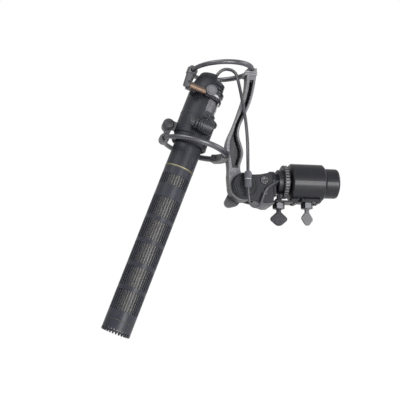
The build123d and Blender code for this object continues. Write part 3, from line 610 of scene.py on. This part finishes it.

# %% [markdown]
# ## The leads
#
# A thin lead leaves the boot behind the plug, arches over and hangs down beside the arm
# to an in-line connector.  A thinner pigtail loops under the hub into the grip collar.
# Their lines are smooth curves through a few control points.  The line is evaluated by
# Blender itself from a NURBS spline, and a mesh tube is then built along it.

# %% Leads
def smooth_line(points, resolution=14):
    """Points along a NURBS curve with these control points."""
    curve = bpy.data.curves.new("route", "CURVE")
    curve.dimensions = "3D"
    spline = curve.splines.new("NURBS")
    spline.points.add(len(points) - 1)
    for knot, place in zip(spline.points, points):
        knot.co = (*place, 1.0)
    spline.order_u = 3
    spline.use_endpoint_u = True
    spline.resolution_u = resolution
    holder = bpy.data.objects.new("route", curve)
    bpy.context.collection.objects.link(holder)
    bpy.context.view_layer.update()
    mesh = bpy.data.meshes.new_from_object(holder)
    line = [v.co.copy() for v in mesh.vertices]
    bpy.data.objects.remove(holder)
    bpy.data.meshes.remove(mesh)
    return line


def length_of(line):
    """Length of a line of points."""
    return sum((b - a).length for a, b in zip(line, line[1:]))


CABLE_ROUTE = [
    on_mic(0, 0, 196.2),
    on_mic(0, 0, 208.8),
    point(-77.0, -3.0, 83.4),
    point(-75.0, -6.8, 71.0),
    point(-73.0, -8.4, 58.0),
    point(-70.8, -9.2, 44.0),
    point(-70.4, -13.2, 27.0),
    point(-71.4, -17.6, 13.0),
    point(-71.4, -17.6, 2.0),
]
PIGTAIL_ROUTE = [
    point(-71.4, -17.6, -5.0),
    point(-71.4, -17.6, -11.8),
    point(-69.8, -15.8, -21.4),
    point(-61.2, -10.9, -21.2),
    point(-58.6, -11.4, -11.2),
    point(-53.8, -11.2, -4.4),
    point(-45.4, -7.4, -0.4),
]


def lead(name, node, route, radius):
    """Round lead along a route; returns the piece and its line."""
    line = smooth_line(route)
    item = piece(name, *tube_along(line, lambda share: radius, 20), "cable_black")
    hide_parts(node)
    print(name, "is", round(1000 * length_of(line), 1), "mm long")
    return item, line


CABLE_RADIUS = mm(1.18)
PIGTAIL_RADIUS = mm(0.9)

cable, cable_line = lead("cable_jacket", "microphone_cable", CABLE_ROUTE, CABLE_RADIUS)
point(-75.0, -6.8, 74.0)
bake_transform(cable)
pigtail, pigtail_line = lead("pigtail_jacket", "pigtail_lead", PIGTAIL_ROUTE, PIGTAIL_RADIUS)
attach(pigtail, "head")

# %% [markdown]
# ## Knurled knobs
#
# Fingers need grip, so the small knobs are knurled: two families of grooves wind round
# the drum in opposite directions and leave diamonds.  The radius is lowered wherever
# either family is near a groove.  The relief is geometry, so it shows in the outline.

# %% Knurled knobs
def knurl(radius, depth, starts, slope, low, high, bevel):
    """Radius of a knurled drum at a height and angle."""

    def radius_at(height, turn):
        left = abs(sin(0.5 * (starts * turn + slope * height)))
        right = abs(sin(0.5 * (starts * turn - slope * height)))
        groove = max(0.0, 0.42 - min(left, right)) / 0.42
        rim = min(height - low, high - height)
        trim = max(0.0, bevel - rim)
        return radius - depth * groove - trim

    return radius_at


def spaced(low, high, count):
    """Evenly spaced values, both ends included."""
    return [low + (high - low) * index / count for index in range(count + 1)]


GROOVE_DEPTH = mm(0.4)
DRUM_RINGS = 56
DRUM_SIDES = 224
SIDE_KNOB = frame_at(on_mic(-19.4, -3.4, 152.6), (1, 0, 0), (0, -1, 0))
LOW_KNOB = frame_at(on_mic(0, -18.8, 157.6), (0, 1, 0), MIC_RIGHT)


def knurled_knob(name, body, matrix, low, high, radius, starts, bevel):
    """Knurled drum, in millimetres; its grooves wind at 45 degrees."""
    low, high, radius = mm(low), mm(high), mm(radius)
    profile = knurl(radius, GROOVE_DEPTH, starts, starts / radius, low, high, mm(bevel))
    drum = grid_drum(matrix, spaced(low, high, DRUM_RINGS), profile, DRUM_SIDES)
    knob = piece(name, *drum, "knurl_dark")
    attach(knob, body)
    print(name, len(knob.data.polygons), "faces")
    return knob


satin("knurl_dark", colour(0.008, 0.008, 0.009), 0.24, wear=8.0, metal=0.4, shine=0.5, edge=0.3)
side_knob = knurled_knob("side_knob_drum", "side_knob", SIDE_KNOB, 0.2, 4.6, 4.25, 20, 1.5)
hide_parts("elbow_knob")
low_knob = knurled_knob("low_knob_drum", "lower_knob", LOW_KNOB, -6.86, -2.64, 3.06, 18, 0.4)

# %% [markdown]
# ## Fine fittings
#
# A few pieces are too small to be worth a solid of their own but are plain to see: the
# pale line near the front of the microphone and the bright rings where the in-line
# connector closes.  Each is a short hollow ring, drawn as a profile turned about the
# axis of its neighbour, so nothing that passes through the neighbour is blocked.

# %% Fittings
def collar_ring(name, body, matrix, height, inner, width, proud, finish):
    """Thin hollow ring with a rounded face about Z of a frame, in millimetres."""
    profile = [(inner - 0.1, height - width / 2), (inner - 0.1, height + width / 2)]
    for step in range(9):
        turn = radians(90 - 22.5 * step)
        profile.append((inner + proud * cos(turn), height + 0.5 * width * sin(turn)))
    vertices = []
    for step in range(72):
        turn = radians(5 * step)
        for radius, level in profile:
            vertices.append(matrix @ point(radius * cos(turn), radius * sin(turn), level))
    ring = piece(name, vertices, ring_faces(72, len(profile), closed=True), finish)
    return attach(ring, body)


collar_ring("front_line", "cradle", MIC, 8.7, 10.4, 0.22, 0.14, "gold")
JOIN = frame_at(point(-71.4, -17.6, 0), (1, 0, 0), (0, 0, 1))
collar_ring("join_ring", "head", JOIN, -2.0, 2.6, 0.7, 0.28, "band_grey")
collar_ring("join_ring_low", "head", JOIN, -5.6, 2.4, 0.5, 0.2, "join_grey")

# %% [markdown]
# ## Clip straps
#
# The hoop clip at the top of the arm is closed by two thin straps.  A strap is a closed
# line with rounded corners and a small round section, drawn round the clip.  It could be
# a bevelled curve, but `tube_along` already makes the same shape as a plain mesh.

# %% Clip straps
satin("strap_light", colour(0.14, 0.14, 0.145), 0.32, edge=0.1)


def strap(name, body, left, right, half_depth, height, radius):
    """Thin band round a block, in millimetres."""
    corner = 0.9
    line = []
    for side_x, side_y, start in ((1, 1, 0), (-1, 1, 90), (-1, -1, 180), (1, -1, 270)):
        middle_x = (right if side_x > 0 else left) - side_x * corner
        middle_y = side_y * (half_depth - corner)
        for step in range(7):
            turn = radians(start + 15 * step)
            line.append(point(middle_x + corner * cos(turn), middle_y + corner * sin(turn), height))
    tube = tube_along(line, lambda share: mm(radius), 12, closed=True)
    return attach(piece(name, *tube, "strap_light", "arm_grey"), body)


STRAP_RADIUS = 0.42
strap("clip_strap_low", "arm_body", -69.9, -61.0, 5.6, 79.9, STRAP_RADIUS)
strap("clip_strap_high", "arm_body", -69.6, -60.9, 5.6, 81.6, STRAP_RADIUS)

# %% [markdown]
# ## Floor, light and camera
#
# The object is dark, so the light has to draw it with reflections.  A soft panel low in
# front lays a long highlight along the round pieces without shining back from flat faces,
# one high on the left draws the upper edges, a weaker one on the right opens the shadows,
# and a pale sky closes the ring.  The camera stands a little to the left and below, as a
# sound recordist would look up at the head.

# %% Stage
CENTRE = point(-103.08, 0, -15.11)
CAMERA_AT = point(-216.68, -644.2, -130.45)
LENS = 82.71


def soft_panel(name, place, target, size, watts):
    """Rectangular area light that faces a point."""
    lamp = bpy.data.lights.new(name, "AREA")
    lamp.shape = "RECTANGLE"
    lamp.size, lamp.size_y = size
    lamp.energy = watts
    holder = bpy.data.objects.new(name, lamp)
    bpy.context.collection.objects.link(holder)
    holder.location = place
    holder.rotation_euler = (target - place).to_track_quat("-Z", "Y").to_euler()
    return holder


soft_panel("front_panel", point(170, -880, -200), CENTRE, (0.45, 0.5), 18)
soft_panel("key_panel", point(-520, -520, 760), CENTRE, (0.6, 0.4), 12)
soft_panel("side_panel", point(800, -200, 240), CENTRE, (0.4, 0.8), 6)

floor_bench = Bench("studio_floor")
floor_clouds = floor_bench.noise(3, 3)
floor_bench.done(
    Base_Color=floor_bench.mix(floor_clouds, colour(0.93, 0.93, 0.93), colour(0.96, 0.96, 0.96)),
    Roughness=0.85 + 0.1 * floor_clouds,
    Emission_Color=colour(1, 1, 1),
    Emission_Strength=0.06,
)
floor_mesh = bpy.data.meshes.new("floor")
FLOOR_Z = mm(-330)
SPREAD = 12.0
corners = [(-SPREAD, -SPREAD), (SPREAD, -SPREAD), (SPREAD, SPREAD), (-SPREAD, SPREAD)]
floor_mesh.from_pydata([(x, y, FLOOR_Z) for x, y in corners], [], [(0, 1, 2, 3)])
floor = bpy.data.objects.new("floor", floor_mesh)
bpy.context.collection.objects.link(floor)
floor_mesh.materials.append(floor_bench.material)

world = bpy.data.worlds.new("pale sky")
bpy.context.scene.world = world
world.use_nodes = True
sky = world.node_tree.nodes["Background"]
sky.inputs["Color"].default_value = colour(1, 1, 1)
sky.inputs["Strength"].default_value = 1.0
bpy.context.scene.view_settings.view_transform = "Standard"

camera_data = bpy.data.cameras.new("camera")
camera_data.lens = LENS
camera_data.sensor_width = 36
camera_data.clip_start = 0.01
camera = bpy.data.objects.new("camera", camera_data)
bpy.context.collection.objects.link(camera)
camera.location = CAMERA_AT
camera.rotation_euler = (CENTRE - CAMERA_AT).to_track_quat("-Z", "Y").to_euler()
bpy.context.scene.camera = camera
print("camera", [round(v, 3) for v in CAMERA_AT], "lens", LENS)
